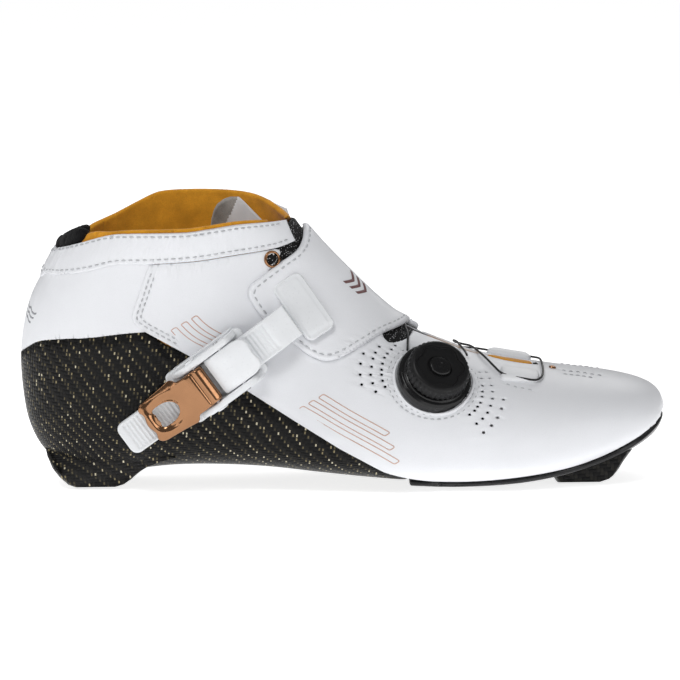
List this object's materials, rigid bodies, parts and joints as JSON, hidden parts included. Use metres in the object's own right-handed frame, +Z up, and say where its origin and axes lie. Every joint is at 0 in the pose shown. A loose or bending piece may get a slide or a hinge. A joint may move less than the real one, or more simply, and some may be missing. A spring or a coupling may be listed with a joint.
{
  "type": "inline speed skate boot",
  "caption": "Low-cut right boot for a speed skate: carbon shell, white upper, rotary lace dial, ankle ratchet buckle and two bolt mount blocks for a frame.",
  "frame": {"origin": "centre of the footprint box on the ground plane, under the lowest point of the sole", "axes": "+X to the toe, -Y to the outer (lateral) side with dial and buckle, +Y to the inner side, +Z up"},
  "size_m": [0.2676, 0.0921, 0.1187],
  "materials": {
    "carbon": "clear-coated twill weave",
    "white_leather": "smooth coated microfibre",
    "strap_leather": "smooth coated microfibre strap",
    "suede": "napped suede lining",
    "neoprene": "padded knit",
    "mesh": "speckled spacer mesh",
    "pile": "brushed loop pile",
    "white_plastic": "satin moulded",
    "black_plastic": "satin moulded",
    "rose_gold": "polished plated alloy",
    "steel": "satin steel",
    "lace_wire": "coated wire lace",
    "footbed_foam": "perforated foam"
  },
  "bodies": {
    "root": {"carbon_shell": "carbon", "forefoot_sole": "carbon", "rear_mount_block": "carbon", "front_mount_block": "carbon", "rear_threaded_insert": "steel", "front_threaded_insert": "steel", "footbed": "footbed_foam", "vamp": "white_leather", "quarter_medial": "white_leather", "heel_counter": "white_leather", "collar_band": "white_leather", "achilles_pad": "neoprene", "collar_lining": "suede", "tongue": "mesh", "throat_gusset": "suede", "inner_flap": "pile", "ankle_strap": "strap_leather", "eyelet_lateral": "rose_gold", "eyelet_medial": "rose_gold", "toe_rivet": "steel", "dial_axle_screw": "steel", "lace_guide_lateral": "white_leather", "lace_guide_medial_front": "white_leather", "lace_guide_medial_rear": "white_leather", "dial_base": "black_plastic", "lace": "lace_wire", "buckle_base": "white_plastic", "buckle_rivet": "steel", "lever_pin": "steel", "release_pin": "steel"},
    "spool": {"dial_spool": "black_plastic"},
    "knob": {"dial_knob": "black_plastic", "dial_cap": "black_plastic"},
    "lever": {"buckle_lever": "rose_gold", "drive_pawl": "steel"},
    "release": {"release_lever": "white_plastic"},
    "ladder": {"ladder_strap": "white_plastic", "anchor_plate": "white_plastic"}
  },
  "joints": [
    {"name": "dial_spin", "type": "hinge", "parent": "root", "child": "spool", "pos_m": [0.03723, -0.03072, 0.04672], "axis": [0.2603, -0.731, 0.6308], "continuous": true},
    {"name": "dial_lift", "type": "slide", "parent": "spool", "child": "knob", "axis": [0.2603, -0.731, 0.6308], "range_m": [0, 0.0025]},
    {"name": "lever_hinge", "type": "hinge", "parent": "root", "child": "lever", "pos_m": [-0.05559, -0.04184, 0.04692], "axis": [-0.5787, 0, 0.8155], "range_deg": [0, 75]},
    {"name": "release_hinge", "type": "hinge", "parent": "root", "child": "release", "pos_m": [-0.04498, -0.04104, 0.05444], "axis": [0.5787, 0, -0.8155], "range_deg": [0, 18], "stiffness_Nm_per_rad": 0.05, "springref_deg": -5.73},
    {"name": "ladder_slide", "type": "slide", "parent": "root", "child": "ladder", "axis": [0.8155, 0, 0.5787], "range_m": [-0.003, 0.006]}
  ]
}
